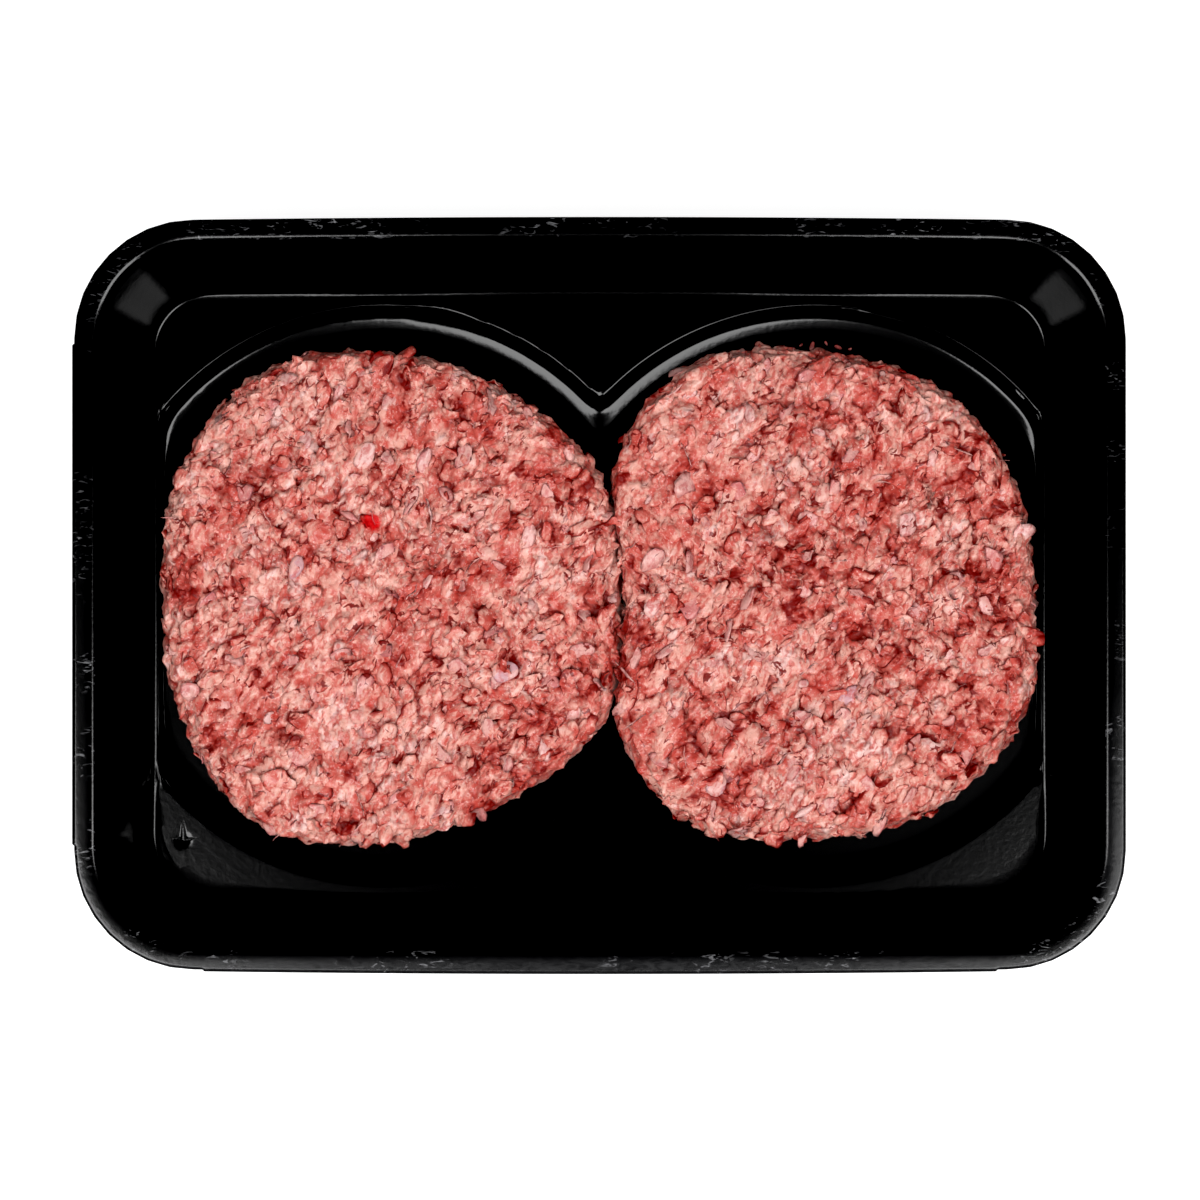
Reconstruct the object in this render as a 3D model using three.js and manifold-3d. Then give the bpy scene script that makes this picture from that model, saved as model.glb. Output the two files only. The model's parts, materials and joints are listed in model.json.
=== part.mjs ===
// A shallow black thermoformed meat tray with two raw minced-beef patties side by side in it.
// Millimetres, +Z up, +X along the tray's long side. The tray stands on the underside of its
// two round wells, and the origin is the middle of its box at that level.
import * as THREE from 'three';
import { mergeVertices } from 'three/addons/utils/BufferGeometryUtils.js';
import Module from 'manifold-3d';

// Tray outline at the rim
const TRAY_LENGTH = 230;
const TRAY_WIDTH = 165.2;
const TRAY_HEIGHT = 33.5;
const SHEET = 0.8;
const RIM_CORNER_RADIUS = 26;
const LONG_SIDE_BOW = 0.6;

// The straight cuts stand proud of the punched corners on two sides
const LEFT_CUT_PROUD = 0.45;
const LEFT_CUT_HALF_LENGTH = 54.6;
const FRONT_CUT_PROUD = 0.4;
const FRONT_CUT_HALF_LENGTH = 86.6;
const CUT_STEP_WIDTH = 0.3;

// Wall, and the level ledge at its foot
const LEDGE_LEVEL = 6;
const LEDGE_INSET = 13.7;
const WALL_ANGLE = THREE.MathUtils.degToRad(72.6);
const CORNER_RADIUS_LOSS = 0.9;

// Two overlapping round wells sunk in the ledge
const WELL_CENTRE_X = 48.6;
const WELL_LIP_RADIUS = 65.5;
const WELL_WALL_ANGLE = THREE.MathUtils.degToRad(66);
const WELL_END_CLEARANCE = 0.12;

// The gentle slope from the foot of a well's wall in to its level floor
const WELL_FLOOR_RADIUS = 60.3;
const SHOULDER_RISE = 0.42;
const SHOULDER_ANGLE = THREE.MathUtils.degToRad(10);

// The two faces of the sheet: how far each lies below the upper one, its bend radii at the
// rim, the foot of the wall, the wells' lip and the foot of their wall, and the steps in a bend
const UPPER_FACE = { depth: 0, rim: 2.5, ledge: 1.4, lip: 1.8, foot: 1.2, steps: 2 };
const LOWER_FACE = { depth: SHEET, rim: 1.7, ledge: 0.7, lip: 1, foot: 2, steps: 1 };

// How finely the tray is divided
const LONG_SIDE_STEPS = 28;
const SHORT_SIDE_STEPS = 16;
const CORNER_STEPS = 8;

// Patties: radii from the centre every 30 degrees, counter-clockwise from +X
const PATTY_THICKNESS = 13.4;
const PATTY_SHOULDER = 4.2;
const PATTY_EQUATOR = 7.4;
const PATTY_UNDERCUT = 3.6;
const PATTY_RINGS = 20;
const PATTY_FLAT_RINGS = 17;
const PATTY_SIDE_RINGS = 3;
const CLEARANCE = 0.3;
const LEFT_PATTY = {
  x: -47.6,
  y: -0.6,
  seed: 11,
  radii: [52.7, 54.8, 53.7, 55.4, 58.4, 55.2, 51.1, 54.1, 58.8, 55.2, 53.3, 55.9],
};
const RIGHT_PATTY = {
  x: 49.8,
  y: 0.3,
  seed: 29,
  radii: [48.5, 50.5, 53.4, 54.3, 59.2, 54.5, 47.0, 54.5, 59.4, 55.2, 55.0, 53.4],
};

// Mince relief: grains stand up, the crevices between them sink in
const GRAIN_LOW = 0.4;
const GRAIN_HIGH = 1.5;
const CREVICE_LOW = -0.9;
const CREVICE_HIGH = 0;
const GRAIN_WANDER = 0.5;
const SIDE_RELIEF_SHARE = 0.6;
const SURFACE_WAVE = 0.3;
const WAVE_LENGTH = 34;

const wasm = await Module();
wasm.setup();

function seededRandom(seed) {
  let state = seed >>> 0;
  return () => {
    state = (state + 0x6d2b79f5) >>> 0;
    let mixed = Math.imul(state ^ (state >>> 15), state | 1);
    mixed ^= mixed + Math.imul(mixed ^ (mixed >>> 7), mixed | 61);
    return ((mixed ^ (mixed >>> 14)) >>> 0) / 4294967296;
  };
}

function indexedGeometry(points, faces) {
  const geometry = new THREE.BufferGeometry().setFromPoints(points);
  geometry.setIndex(faces);
  geometry.computeVertexNormals();
  return geometry;
}

// Faces between two rings of equal count, facing out when the second ring comes next outward
function bandFaces(first, second, count) {
  const faces = [];
  for (let i = 0; i < count; i += 1) {
    const next = (i + 1) % count;
    faces.push(first + i, second + i, first + next);
    faces.push(first + next, second + i, second + next);
  }
  return faces;
}

// Closed skin through a run of equal rings, shut by a point at each end
function loft(rings, startPoint, endPoint) {
  const count = rings[0].length;
  const points = [startPoint, ...rings.flat(), endPoint];
  const last = points.length - 1;
  const lastRing = 1 + (rings.length - 1) * count;
  const faces = [];
  for (let i = 0; i < count; i += 1) {
    const next = (i + 1) % count;
    faces.push(0, 1 + i, 1 + next);
    faces.push(last, lastRing + next, lastRing + i);
  }
  for (let ring = 1; ring < rings.length; ring += 1) {
    faces.push(...bandFaces(1 + (ring - 1) * count, 1 + ring * count, count));
  }
  return indexedGeometry(points, faces);
}

// Stations round the tray: where each point of a ring lies on its side or corner
function evenRun(steps) {
  return Array.from({ length: steps }, (unused, i) => -1 + (2 * i) / steps);
}

// Adds a close pair of stations where a cut begins and ends, in place of any beside them
function withCutSteps(run, cutHalf, straightHalf) {
  const inner = cutHalf / straightHalf;
  const outer = (cutHalf + CUT_STEP_WIDTH) / straightHalf;
  const clear = run.filter((t) => Math.abs(Math.abs(t) - inner) * straightHalf > 1);
  return [...clear, -outer, -inner, inner, outer].sort((a, b) => a - b);
}

// The long sides bow out beyond a rounded rectangle of this half length and half width
const HALF_LENGTH = TRAY_LENGTH / 2;
const HALF_WIDTH = TRAY_WIDTH / 2 - LONG_SIDE_BOW;
const RIM_STRAIGHT_X = HALF_LENGTH - RIM_CORNER_RADIUS;
const RIM_STRAIGHT_Y = HALF_WIDTH - RIM_CORNER_RADIUS;

function trayStations() {
  const long = evenRun(LONG_SIDE_STEPS);
  const short = evenRun(SHORT_SIDE_STEPS);
  const runs = [
    short,
    long,
    withCutSteps(short, LEFT_CUT_HALF_LENGTH, RIM_STRAIGHT_Y),
    withCutSteps(long, FRONT_CUT_HALF_LENGTH, RIM_STRAIGHT_X),
  ];
  const stations = [];
  runs.forEach((run, side) => {
    run.forEach((t) => stations.push({ side, t }));
    for (let i = 0; i < CORNER_STEPS; i += 1) {
      stations.push({ side, turn: i / CORNER_STEPS });
    }
  });
  return stations;
}

const STATIONS = trayStations();

// A point of the rounded rectangle that lies inset from the rim. Sides run counter-clockwise
// from the right one, and each is followed by the corner at its end.
function rimPoint(station, inset, z, atEdge) {
  const radius = RIM_CORNER_RADIUS - CORNER_RADIUS_LOSS * inset;
  const straightX = HALF_LENGTH - inset - radius;
  const straightY = HALF_WIDTH - inset - radius;
  const acrossSides = station.side % 2 === 0;
  const along = acrossSides ? straightY : straightX;
  const reach = acrossSides ? straightX : straightY;
  const local = new THREE.Vector3(reach + radius, 0, z);
  if (station.turn === undefined) {
    local.y = station.t * along;
    if (!acrossSides) {
      local.x += LONG_SIDE_BOW * (1 - station.t ** 2);
    }
    if (atEdge) {
      local.x += proudOf(station);
    }
  } else {
    const angle = (station.turn * Math.PI) / 2;
    local.x = reach + radius * Math.cos(angle);
    local.y = along + radius * Math.sin(angle);
  }
  return local.applyAxisAngle(new THREE.Vector3(0, 0, 1), (station.side * Math.PI) / 2);
}

function proudOf(station) {
  const slack = CUT_STEP_WIDTH / 2;
  if (station.side === 2) {
    const distance = Math.abs(station.t) * RIM_STRAIGHT_Y;
    return distance < LEFT_CUT_HALF_LENGTH + slack ? LEFT_CUT_PROUD : 0;
  }
  if (station.side === 3) {
    const distance = Math.abs(station.t) * RIM_STRAIGHT_X;
    return distance < FRONT_CUT_HALF_LENGTH + slack ? FRONT_CUT_PROUD : 0;
  }
  return 0;
}

function rimRing(inset, z, atEdge = false) {
  return STATIONS.map((station) => rimPoint(station, inset, z, atEdge));
}

// A ring of the two joined wells, on the same rays from the middle as the ledge's own ring.
// The tray's end walls cut the circles off.
function wellRing(ledgeRing, radius, endX, z) {
  return ledgeRing.map((point) => {
    const angle = Math.atan2(point.y, point.x);
    const cosine = Math.abs(Math.cos(angle));
    const offLine = WELL_CENTRE_X * Math.sin(angle);
    const toCircle = WELL_CENTRE_X * cosine + Math.sqrt(radius ** 2 - offLine ** 2);
    const toEnd = cosine > 0.01 ? endX / cosine : Infinity;
    const reach = Math.min(toCircle, toEnd);
    return new THREE.Vector3(reach * Math.cos(angle), reach * Math.sin(angle), z);
  });
}

// Points of a bend between a level line and one that falls away at an angle: how far each
// is past the corner, and how far below it
function bendSteps(radius, angle, steps) {
  const tangent = radius * Math.tan(angle / 2);
  return Array.from({ length: steps + 1 }, (unused, i) => {
    const turned = (angle * i) / steps;
    return { past: -tangent + radius * Math.sin(turned), below: radius * (1 - Math.cos(turned)) };
  });
}

// One face of the tray's sheet, as rings from the rim to the well floor
function trayFace(face) {
  const rimLevel = TRAY_HEIGHT - face.depth;
  const ledgeLevel = LEDGE_LEVEL - face.depth;
  const floorLevel = SHEET - face.depth;
  const footLevel = floorLevel + SHOULDER_RISE;
  const wallRun = (TRAY_HEIGHT - LEDGE_LEVEL) / Math.tan(WALL_ANGLE);
  const wellRun = (ledgeLevel - footLevel) / Math.tan(WELL_WALL_ANGLE);
  const wallFoot = LEDGE_INSET - face.depth * Math.tan(WALL_ANGLE / 2);
  const lipRadius = WELL_LIP_RADIUS + face.depth * Math.tan(WELL_WALL_ANGLE / 2);
  const floorRadius = WELL_FLOOR_RADIUS + face.depth * Math.tan(SHOULDER_ANGLE / 2);

  const rings = [rimRing(0, rimLevel, true)];
  bendSteps(face.rim, WALL_ANGLE, face.steps + 1).forEach(({ past, below }) => {
    rings.push(rimRing(wallFoot - wallRun + past, rimLevel - below));
  });
  bendSteps(face.ledge, WALL_ANGLE, face.steps).reverse().forEach(({ past, below }) => {
    rings.push(rimRing(wallFoot - past, ledgeLevel + below));
  });
  const ledgeRing = rings[rings.length - 1];
  const lip = bendSteps(face.lip, WELL_WALL_ANGLE, face.steps);
  const foot = bendSteps(face.foot, WELL_WALL_ANGLE, face.steps).reverse();
  const profile = [
    ...lip.map(({ past, below }) => [lipRadius - past, ledgeLevel - below]),
    ...foot.map(({ past, below }) => [lipRadius - wellRun + past, footLevel + below]),
    [floorRadius, floorLevel],
  ];
  profile.forEach(([radius, z], i) => {
    const endX = ledgeRing[0].x - WELL_END_CLEARANCE * (i + 1);
    rings.push(wellRing(ledgeRing, radius, endX, z));
  });
  return rings;
}

function trayGeometry() {
  const rings = [...trayFace(UPPER_FACE).reverse(), ...trayFace(LOWER_FACE)];
  return loft(rings, new THREE.Vector3(0, 0, SHEET), new THREE.Vector3(0, 0, 0));
}

// Smooth closed curve through the radii, read at any angle
function outlineRadius(radii, angle) {
  const turns = ((angle / (2 * Math.PI)) % 1 + 1) % 1;
  const place = turns * radii.length;
  const i = Math.floor(place);
  const t = place - i;
  const pick = (k) => radii[(i + k + radii.length) % radii.length];
  const slopeIn = (pick(1) - pick(-1)) / 2;
  const slopeOut = (pick(2) - pick(0)) / 2;
  const risen = t * t * (3 - 2 * t);
  return (
    pick(0) * (1 - risen) + pick(1) * risen
    + slopeIn * t * (1 - t) ** 2 - slopeOut * t * t * (1 - t)
  );
}

// The patty's section: how far in from the outline, how high, and which way it faces
function pattySection(ring) {
  const depth = PATTY_THICKNESS - PATTY_EQUATOR;
  if (ring <= PATTY_RINGS) {
    const past = Math.max(0, ring - PATTY_FLAT_RINGS);
    const turn = (past / (PATTY_RINGS - PATTY_FLAT_RINGS)) * Math.PI / 2;
    return {
      inset: PATTY_SHOULDER * (1 - Math.sin(turn)),
      z: PATTY_EQUATOR + depth * Math.cos(turn),
      outward: Math.sin(turn),
      upward: Math.cos(turn),
    };
  }
  const turn = ((ring - PATTY_RINGS) / PATTY_SIDE_RINGS) * Math.PI / 2;
  return {
    inset: PATTY_UNDERCUT * (1 - Math.cos(turn)),
    z: PATTY_EQUATOR * (1 - Math.sin(turn)),
    outward: Math.cos(turn),
    upward: 0,
  };
}

// Whether a point of the six-sided lattice is the top of a grain or lies in a crevice
function isGrain(ring, index) {
  if (ring === 0) {
    return true;
  }
  const directions = [[1, 0], [0, 1], [-1, 1], [-1, 0], [0, -1], [1, -1]];
  const sector = Math.floor(index / ring);
  const step = index % ring;
  const [q0, r0] = directions[sector];
  const [q1, r1] = directions[(sector + 1) % directions.length];
  const q = q0 * (ring - step) + q1 * step;
  const r = r0 * (ring - step) + r1 * step;
  return ((q - r) % 3 + 3) % 3 === 0;
}

// A patty of rings that widen in a six-sided lattice, with every third point a grain. Swell
// grows it all over, for cutting its neighbour clear of it.
function pattyGeometry(patty, swell = 0) {
  const random = seededRandom(patty.seed);
  const between = (low, high) => low + (high - low) * random();
  const phases = [random(), random(), random()].map((value) => value * 2 * Math.PI);
  const floorZ = SHEET + CLEARANCE - swell;
  const lastRing = PATTY_RINGS + PATTY_SIDE_RINGS;
  const points = [];
  const starts = [];
  for (let ring = 0; ring <= lastRing; ring += 1) {
    const lattice = Math.min(ring, PATTY_RINGS);
    const count = Math.max(1, 6 * lattice);
    const section = pattySection(ring);
    starts.push(points.length);
    for (let i = 0; i < count; i += 1) {
      const sideShift = ring > PATTY_RINGS ? (ring - PATTY_RINGS) / 2 : 0;
      const grain = isGrain(lattice, (i + (ring > PATTY_RINGS ? ring : 0)) % count);
      const height = grain ? between(GRAIN_LOW, GRAIN_HIGH) : between(CREVICE_LOW, CREVICE_HIGH);
      const wander = between(-GRAIN_WANDER, GRAIN_WANDER);
      const angle = ((i + sideShift) / count) * 2 * Math.PI;
      const outline = outlineRadius(patty.radii, angle);
      const flat = (outline - PATTY_SHOULDER) * (lattice / PATTY_FLAT_RINGS);
      const base = ring <= PATTY_FLAT_RINGS ? flat : outline - section.inset;
      const shift = ring < PATTY_FLAT_RINGS ? wander : section.outward * height * SIDE_RELIEF_SHARE;
      const radius = ring === 0 ? 0 : base + shift + swell;
      const x = radius * Math.cos(angle);
      const y = radius * Math.sin(angle);
      const wave = SURFACE_WAVE * (
        Math.sin((2 * Math.PI * x) / WAVE_LENGTH + phases[0])
        + Math.sin((2 * Math.PI * y) / WAVE_LENGTH + phases[1])
        + Math.sin((2 * Math.PI * (x + y)) / WAVE_LENGTH + phases[2])
      );
      const lift = section.upward * (height + wave + 2 * swell);
      const z = ring === lastRing ? 0 : section.z + lift;
      points.push(new THREE.Vector3(patty.x + x, patty.y + y, floorZ + z));
    }
  }
  const foot = points.push(new THREE.Vector3(patty.x, patty.y, floorZ)) - 1;
  return indexedGeometry(points, pattyFaces(starts, foot));
}

function pattyFaces(starts, foot) {
  const faces = [];
  for (let ring = 1; ring <= PATTY_RINGS; ring += 1) {
    const inner = (i) => starts[ring - 1] + (ring === 1 ? 0 : i % (6 * (ring - 1)));
    const outer = (i) => starts[ring] + i % (6 * ring);
    for (let sector = 0; sector < 6; sector += 1) {
      for (let step = 0; step < ring; step += 1) {
        const out = sector * ring + step;
        const into = sector * (ring - 1) + step;
        faces.push(outer(out), outer(out + 1), inner(into));
        if (step < ring - 1) {
          faces.push(inner(into), outer(out + 1), inner(into + 1));
        }
      }
    }
  }
  const count = 6 * PATTY_RINGS;
  for (let ring = PATTY_RINGS; ring < starts.length - 1; ring += 1) {
    faces.push(...bandFaces(starts[ring], starts[ring + 1], count));
  }
  const rim = starts[starts.length - 1];
  for (let i = 0; i < count; i += 1) {
    faces.push(foot, rim + (i + 1) % count, rim + i);
  }
  return faces;
}

function toSolid(geometry) {
  const bare = geometry.clone();
  bare.deleteAttribute('normal');
  const merged = mergeVertices(bare, 1e-4);
  return new wasm.Manifold(new wasm.Mesh({
    numProp: 3,
    vertProperties: new Float32Array(merged.attributes.position.array),
    triVerts: new Uint32Array(merged.index.array),
  }));
}

function fromSolid(solid) {
  const mesh = solid.getMesh();
  const geometry = new THREE.BufferGeometry();
  geometry.setAttribute('position', new THREE.BufferAttribute(mesh.vertProperties, mesh.numProp));
  geometry.setIndex(Array.from(mesh.triVerts));
  geometry.computeVertexNormals();
  return geometry;
}

const trayPlastic = new THREE.MeshStandardMaterial({ color: 0x0a0a0b, roughness: 0.35, metalness: 0 });
const rawMince = new THREE.MeshStandardMaterial({ color: 0xc66f66, roughness: 0.4, metalness: 0 });

function namedMesh(name, geometry, material) {
  const mesh = new THREE.Mesh(geometry, material);
  mesh.name = name;
  return mesh;
}

// The left patty's edge lies on the right one's, which is cut back to make room for it
const leftPatty = pattyGeometry(LEFT_PATTY);
const rightPatty = fromSolid(
  toSolid(pattyGeometry(RIGHT_PATTY)).subtract(toSolid(pattyGeometry(LEFT_PATTY, CLEARANCE))),
);

const pack = new THREE.Group();
pack.add(namedMesh('tray', trayGeometry(), trayPlastic));
pack.add(namedMesh('patty_left', leftPatty, rawMince));
pack.add(namedMesh('patty_right', rightPatty, rawMince));
pack.position.set(LEFT_CUT_PROUD / 2, FRONT_CUT_PROUD / 2, 0);

export default pack;
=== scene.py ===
"""Dresses a meat tray pack: a black plastic tray with two raw minced-beef patties."""
import json
import math

import bpy
import numpy as np
from bpy.props import FloatProperty, FloatVectorProperty, IntProperty, PointerProperty
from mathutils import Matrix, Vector
from mathutils.kdtree import KDTree

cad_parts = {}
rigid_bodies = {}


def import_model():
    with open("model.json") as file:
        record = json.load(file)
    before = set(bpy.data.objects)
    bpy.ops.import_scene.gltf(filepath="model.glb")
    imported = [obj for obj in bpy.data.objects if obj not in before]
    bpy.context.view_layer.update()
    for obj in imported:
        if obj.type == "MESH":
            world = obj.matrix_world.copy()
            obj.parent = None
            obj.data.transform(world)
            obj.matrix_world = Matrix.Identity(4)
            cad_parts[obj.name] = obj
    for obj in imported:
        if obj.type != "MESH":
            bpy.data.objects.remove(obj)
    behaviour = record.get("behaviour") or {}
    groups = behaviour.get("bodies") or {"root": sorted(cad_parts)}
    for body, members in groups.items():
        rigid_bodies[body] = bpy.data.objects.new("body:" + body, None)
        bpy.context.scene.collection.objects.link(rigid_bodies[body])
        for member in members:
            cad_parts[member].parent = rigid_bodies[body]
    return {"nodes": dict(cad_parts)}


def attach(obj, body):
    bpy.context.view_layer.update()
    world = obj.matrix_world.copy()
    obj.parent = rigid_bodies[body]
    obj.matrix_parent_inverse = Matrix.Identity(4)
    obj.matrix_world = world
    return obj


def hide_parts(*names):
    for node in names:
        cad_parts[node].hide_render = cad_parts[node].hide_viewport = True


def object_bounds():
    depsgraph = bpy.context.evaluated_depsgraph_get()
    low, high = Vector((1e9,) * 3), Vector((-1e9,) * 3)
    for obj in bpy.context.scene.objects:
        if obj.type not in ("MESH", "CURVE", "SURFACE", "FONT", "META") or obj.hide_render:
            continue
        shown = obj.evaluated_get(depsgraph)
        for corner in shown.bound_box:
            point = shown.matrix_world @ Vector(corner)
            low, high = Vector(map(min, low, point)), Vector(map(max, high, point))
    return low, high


bl_info = {
    "name": "Meat Tray Pack",
    "version": (1, 0, 0),
    "blender": (4, 5, 0),
    "location": "View3D > Sidebar > Meat Pack",
    "description": "Dresses a black meat tray with raw minced-beef patties",
    "category": "Object",
}

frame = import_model()
CAD_BOX = [list(corner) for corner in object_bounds()]

MM = 0.001
PATTIES = ("patty_left", "patty_right")
RIM_LEVEL = CAD_BOX[1][2]

# Two points of a fixed solid that are closer than this are one
MERGE_GAP = 0.002 * MM

# The wells and the ledge, and how softly the ledge bends into the wells and they into the floor
WELL_CENTRE = 48.6 * MM
WELL_LIP = 65.5 * MM
WELL_SLOPE = math.tan(math.radians(66))
LEDGE_LEVEL = 6 * MM
LIP_SOFTNESS = 0.16 * MM
FLOOR_LEVEL = 0.8 * MM
FLOOR_BEND = 0.7 * MM

# The upper face of the ledge and of the wells' walls, as opposed to the sheet's lower face
LOWEST_UPPER_FACE = 2.5 * MM
UPPER_FACE_GAP = 0.6 * MM
LEDGE_GAP = 0.05 * MM

# The dent in the ledge: its middle, its reach, how finely the sheet is divided there, the width
# and depth of its hollow and of its spikes, and the spikes' directions and lengths
DENT_PLACE = np.array([-94.0, -55.4]) * MM
DENT_REACH = 5.5 * MM
DENT_CUTS = 6
DENT_HIGHEST = LEDGE_LEVEL + 1 * MM
HOLLOW_WIDTH = 1.1 * MM
HOLLOW_DEPTH = 0.5 * MM
SPIKE_WIDTH = 0.55 * MM
SPIKE_DEPTH = 0.7 * MM
DENT_SPIKES = ((92, 4.4 * MM), (12, 2.6 * MM), (165, 2.4 * MM))

# Width and seed of the noise in the relief, and how high its slow roll is
LARGE_WARP = (4.5 * MM, 61, 2.2 * MM)
SMALL_WARP = (1.4 * MM, 83, 0.6 * MM)
ROLL = (9 * MM, 151)
ROLL_HEIGHT = 0.5 * MM
TIGHTNESS = (6 * MM, 131)

# Grains of the mince: width, swell, blend of lean and fat, width of the gaps, seed
GRAIN_SIZES = (
    (8.0 * MM, 0.8 * MM, 0.14, 0.9 * MM, 201),
    (3.6 * MM, 0.6 * MM, 0.36, 0.65 * MM, 301),
    (1.8 * MM, 0.35 * MM, 0.3, 0.4 * MM, 401),
)

# Grains narrower than this are only in the fat, and not in the lean
WHOLE_GRAIN = 3 * MM

# Which way the press smeared the mince, and how far it drew the grains out along and across
SMEAR = math.radians(52)
DRAWN = (1.8, 0.85)

# The height map, which tells where to paint shade in the crevices: its cells' width, and for a
# narrow and a wide mean how many cells to each side it takes in, at what depth under it the
# painted crevice shade starts, and at what depth it is full
MAP_STEP = 0.3 * MM
CREVICES = ((2, 0.1 * MM, 0.55 * MM), (5, 0.25 * MM, 1.2 * MM))

# The painted crevice shade fades out down a patty's side, between these levels
CREVICE_TOP = 13 * MM
CREVICE_FOOT = 9 * MM

# Cuts along each edge of a core's top and sides
CORE_CUTS = 6

# No scrap reaches below this level, just over the wells' floor
LOWEST_SCRAP = 1 * MM

# The pressed side of a patty: how much of the relief it keeps, and how far its scraps sink in
SIDE_RELIEF = 0.45
SIDE_SINK = 0.1 * MM

# Where the right patty sinks beside the left one and is painted darker there as the left one's
# shadow: by the distance from it, how far it sinks, and between which places along the tray the
# two are compared
SHADE_START = 0.5 * MM
SHADE_END = 2.4 * MM
SHADE_SINK = 1.3 * MM
SHADE_FROM = -10 * MM
SHADE_TO = 25 * MM

# Bits that stand out, by their pixel in the photograph: patty, place, half length and half
# width, height, direction, and which colour of the mince they have
MORSEL_PIXEL = 0.2235 * MM
MORSEL_LIFT = 0.3 * MM
MORSEL_REACH = 1.6 * MM
MORSEL_LOWEST = 8 * MM
MORSELS = (
    ("patty_left", (372, 537), (1.5 * MM, 1.2 * MM), 0.7 * MM, 20, "membrane"),
    ("patty_left", (437, 516), (1.5 * MM, 1.2 * MM), 0.8 * MM, 30, "fat"),
    ("patty_left", (486, 553), (2.2 * MM, 1.9 * MM), 0.9 * MM, 10, "fat"),
    ("patty_left", (296, 567), (3.0 * MM, 1.6 * MM), 0.7 * MM, 70, "lilac"),
    ("patty_left", (500, 640), (1.2 * MM, 1.1 * MM), 0.8 * MM, 0, "lilac"),
    ("patty_left", (505, 671), (3.0 * MM, 2.3 * MM), 0.5 * MM, 30, "lilac"),
    ("patty_left", (365, 455), (3.4 * MM, 2.2 * MM), 0.5 * MM, 60, "membrane"),
    ("patty_left", (358, 717), (2.2 * MM, 1.6 * MM), 0.8 * MM, 0, "fat"),
    ("patty_right", (717, 785), (2.7 * MM, 2.2 * MM), 0.6 * MM, 50, "lilac"),
    ("patty_right", (824, 493), (2.5 * MM, 1.8 * MM), 1.0 * MM, 75, "fat"),
    ("patty_right", (808, 810), (3.4 * MM, 0.8 * MM), 0.8 * MM, 35, "membrane"),
    ("patty_right", (850, 697), (3.3 * MM, 1.9 * MM), 0.6 * MM, 40, "lilac"),
    ("patty_right", (813, 720), (2.6 * MM, 1.8 * MM), 0.9 * MM, 60, "fat"),
    ("patty_right", (652, 607), (2.3 * MM, 1.7 * MM), 1.0 * MM, 60, "membrane"),
)

# The spot of fresh blood: its pixel in the photograph, its radius, how softly it ends, and how
# far its edge strays and on what scale
BLOOD_PIXEL = (371, 521)
BLOOD_RADIUS = 2.3 * MM
BLOOD_EDGE = 0.5 * MM
BLOOD_STRAY = 1.2 * MM
BLOOD_RAGS = (1.5 * MM, 91)

# The crumbs that lie beside the right patty: pixel, half length
CRUMB_PIXEL = 0.2275 * MM
CRUMB_LEVEL = 0.85 * MM
CRUMBS = (
    ((792, 349), 0.9 * MM),
    ((801, 345), 0.5 * MM),
    ((812, 346), 1.1 * MM),
    ((826, 343), 0.6 * MM),
    ((838, 347), 0.9 * MM),
    ((850, 349), 0.5 * MM),
)

# The core of a patty: its faces lie over this level and face less steeply down than this where
# they are divided, and its relief starts at the first level and is full at the second
CORE_LOWEST = 2.5 * MM
CORE_STEEPEST = -0.75
RELIEF_START = 2 * MM
RELIEF_FULL = 3 * MM

# How far a face may turn from upright, as its normal's height, and still carry scraps
SCRAP_STEEPEST = -0.35

# Brightness under which the picture is black
BLACK_LEVEL = 0.003

# The lamps: how far to each side of the tray, how far towards the back, and their level
KEY_PLACE = (0.36, -0.3)
SOFTBOX_PLACE = (0.9, 0.35, 1.3)
SOFTBOX_WIDTH = 0.7

# The photograph: its size, one of its pixels at the rim, and the tray's middle in it
PHOTO_PIXELS = 1200
RIM_PIXEL = 0.2186 * MM
TRAY_MIDDLE_PIXEL = (599, 595.5)


# Settings


class TrayLook(bpy.types.PropertyGroup):
    """Finish of the tray"""

    plastic: FloatVectorProperty(
        name="Plastic",
        description="Colour of the black sheet",
        default=(0.0009, 0.0009, 0.001),
        subtype="COLOR",
        min=0,
        max=1,
    )
    residue: FloatVectorProperty(
        name="Seal residue",
        description="Colour of the scuffed residue of the lidding seal on the flange",
        default=(0.2, 0.2, 0.21),
        subtype="COLOR",
        min=0,
        max=1,
    )
    # Painted sheen: a grey colour that stands in for the lamps' reflection on the front and right
    # flange
    painted_sheen: FloatVectorProperty(
        name="Painted sheen",
        description="Colour of the dull wear on the front and right flange",
        default=(0.008, 0.008, 0.009),
        subtype="COLOR",
        min=0,
        max=1,
    )
    roughness: FloatProperty(
        name="Roughness",
        description="Roughness of the sheet",
        default=0.12,
        min=0,
        max=1,
        subtype="FACTOR",
    )
    peel: FloatProperty(
        name="Orange peel",
        description="Width of the fine bumps in the sheet",
        default=1.3 * MM,
        unit="LENGTH",
    )


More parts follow.
